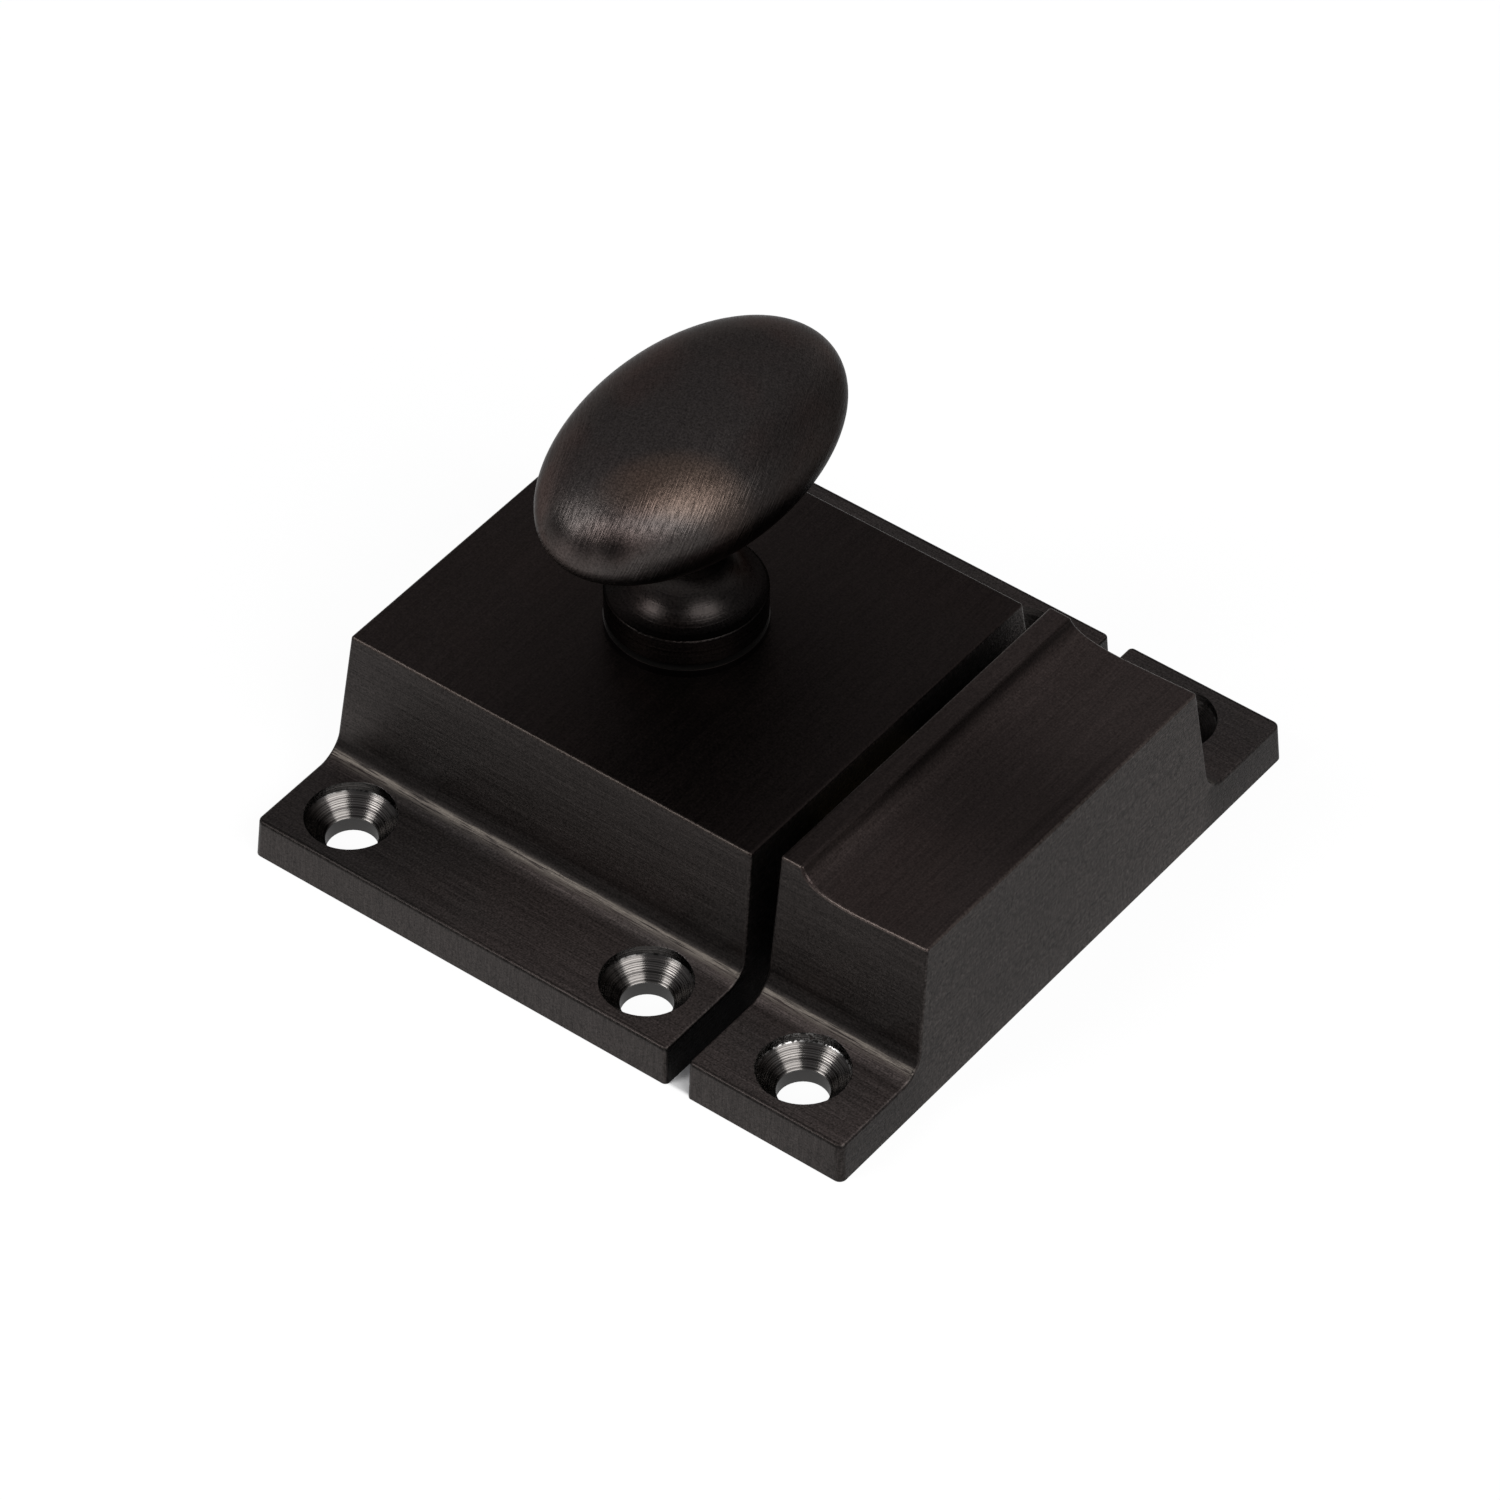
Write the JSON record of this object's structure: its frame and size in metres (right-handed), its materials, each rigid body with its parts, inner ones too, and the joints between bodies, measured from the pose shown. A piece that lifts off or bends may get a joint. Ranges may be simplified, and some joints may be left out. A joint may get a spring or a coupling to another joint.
{
  "type": "cupboard catch latch",
  "caption": "Cupboard catch with a flanged case, an oval turn knob on a waisted neck, a sprung bevelled bolt and a ridged keeper.",
  "frame": {"origin": "where the knob's axis meets the mounting face, at the centre of the case's four screw holes", "axes": "+X from the case to the keeper, the way the bolt shoots; +Y along the gap between case and keeper, upwards when mounted; +Z out of the mounting face, along the knob's axis"},
  "size_m": [0.055, 0.0554, 0.0375],
  "materials": {
    "bronzed_brass": "cast brass, brushed along its length and darkened to a satin bronze",
    "bright_brass": "plain machined brass",
    "plain_steel": "plain turned and milled steel",
    "plated_steel": "zinc-plated steel",
    "spring_steel": "drawn spring wire"
  },
  "bodies": {
    "case": {"latch_case": "bronzed_brass", "keeper": "bronzed_brass", "knob_washer": "bronzed_brass", "bolt_spring": "spring_steel", "back_plate": "plated_steel", "back_plate_screw_1": "plated_steel", "back_plate_screw_2": "plated_steel", "back_plate_screw_3": "plated_steel", "back_plate_screw_4": "plated_steel"},
    "turn_knob": {"knob": "bronzed_brass", "knob_spindle": "plain_steel", "crank": "plain_steel", "crank_peg": "plain_steel", "crank_screw": "plated_steel"},
    "sprung_bolt": {"bolt": "bright_brass"}
  },
  "joints": [
    {"name": "knob_turn", "type": "hinge", "parent": "case", "child": "turn_knob", "pos_m": [0, 0, 0.0146], "axis": [0, 0, 1], "range_deg": [0, 70], "stiffness_Nm_per_rad": 0.035, "springref_deg": -38.96},
    {"name": "bolt_slide", "type": "slide", "parent": "case", "child": "sprung_bolt", "axis": [-1, 0, 0], "range_m": [0, 0.0054], "deforming": ["bolt_spring"]}
  ],
  "couplings": [
    {"joint": "bolt_slide", "follows": "knob_turn", "m_per_rad": 0.0044196}
  ]
}
